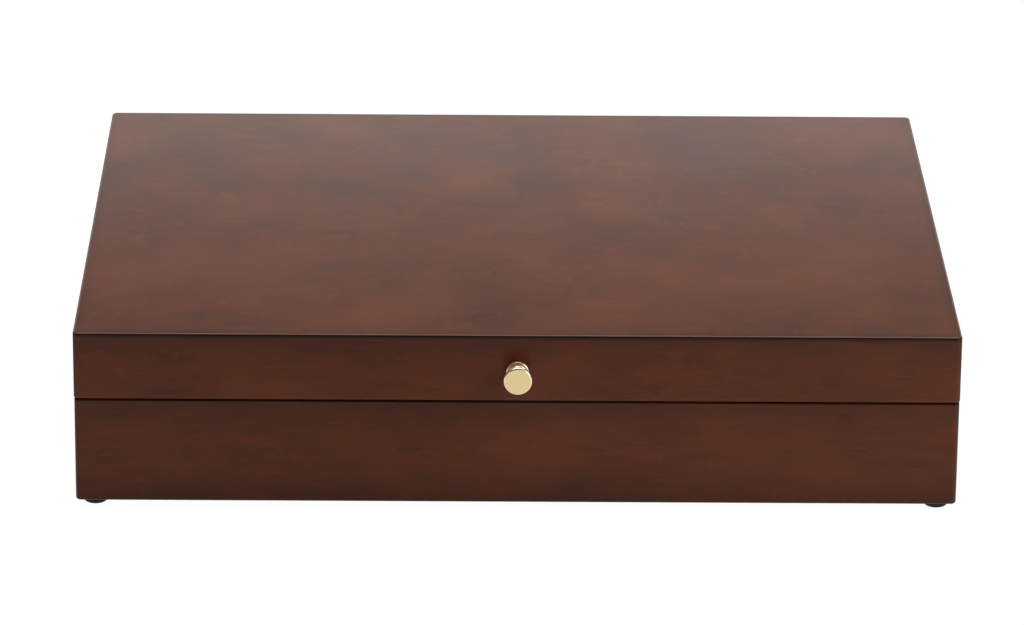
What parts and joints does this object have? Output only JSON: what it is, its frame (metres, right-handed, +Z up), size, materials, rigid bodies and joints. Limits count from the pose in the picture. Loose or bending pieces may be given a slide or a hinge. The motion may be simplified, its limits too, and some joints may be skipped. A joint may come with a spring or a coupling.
{
  "type": "silverware chest",
  "caption": "Flat dark-stained wooden flatware chest with a hinged lid on stop hinges, a turned brass knob, domed rubber feet and a cloth-lined inside with racks.",
  "frame": {"origin": "on the table, at the bottom centre of the closed chest with its knob and hinges", "axes": "+X to the right along the front, +Y from front to back, +Z up; the knob is at -Y"},
  "size_m": [0.394, 0.335, 0.0835],
  "materials": {
    "lacquered_veneer": "dark walnut stain under satin lacquer",
    "bare_hardboard": "unlacquered brown hardboard",
    "brass": "satin drawn brass",
    "polished_brass": "turned and polished pale brass under clear lacquer",
    "zinc_steel": "bright zinc plate",
    "black_rubber": "soft black bumper",
    "brown_cloth": "napped brown anti-tarnish cloth",
    "brown_felt": "self-adhesive felt"
  },
  "bodies": {
    "base": {"base_front": "lacquered_veneer", "base_back": "lacquered_veneer", "base_left": "lacquered_veneer", "base_right": "lacquered_veneer", "base_bottom": "bare_hardboard", "foot_front_left": "black_rubber", "foot_front_right": "black_rubber", "foot_back_left": "black_rubber", "foot_back_right": "black_rubber", "hinge_left_base_leaf": "brass", "hinge_right_base_leaf": "brass", "hinge_left_pin": "brass", "hinge_right_pin": "brass", "hinge_screws_base": "brass", "lid_cushion_dots": "brown_felt", "base_lining_front": "brown_cloth", "base_lining_back": "brown_cloth", "base_lining_left": "brown_cloth", "base_lining_right": "brown_cloth", "base_lining_floor": "brown_cloth", "flatware_rack_front": "brown_cloth", "flatware_rack_back": "brown_cloth", "serving_divider": "brown_cloth"},
    "lid": {"lid_front": "lacquered_veneer", "lid_back": "lacquered_veneer", "lid_left": "lacquered_veneer", "lid_right": "lacquered_veneer", "lid_top": "lacquered_veneer", "knob": "polished_brass", "knob_screw": "zinc_steel", "hinge_left_lid_leaf": "brass", "hinge_right_lid_leaf": "brass", "hinge_screws_lid": "brass", "lid_lining_front": "brown_cloth", "lid_lining_back": "brown_cloth", "lid_lining_left": "brown_cloth", "lid_lining_right": "brown_cloth", "lid_lining_ceiling": "brown_cloth", "knife_rack_blade": "brown_cloth", "knife_rack_handle": "brown_cloth"}
  },
  "joints": [
    {"name": "lid_hinge", "type": "hinge", "parent": "base", "child": "lid", "pos_m": [0, 0.16445, 0.0522], "axis": [-1, 0, 0], "range_deg": [0, 95]}
  ]
}
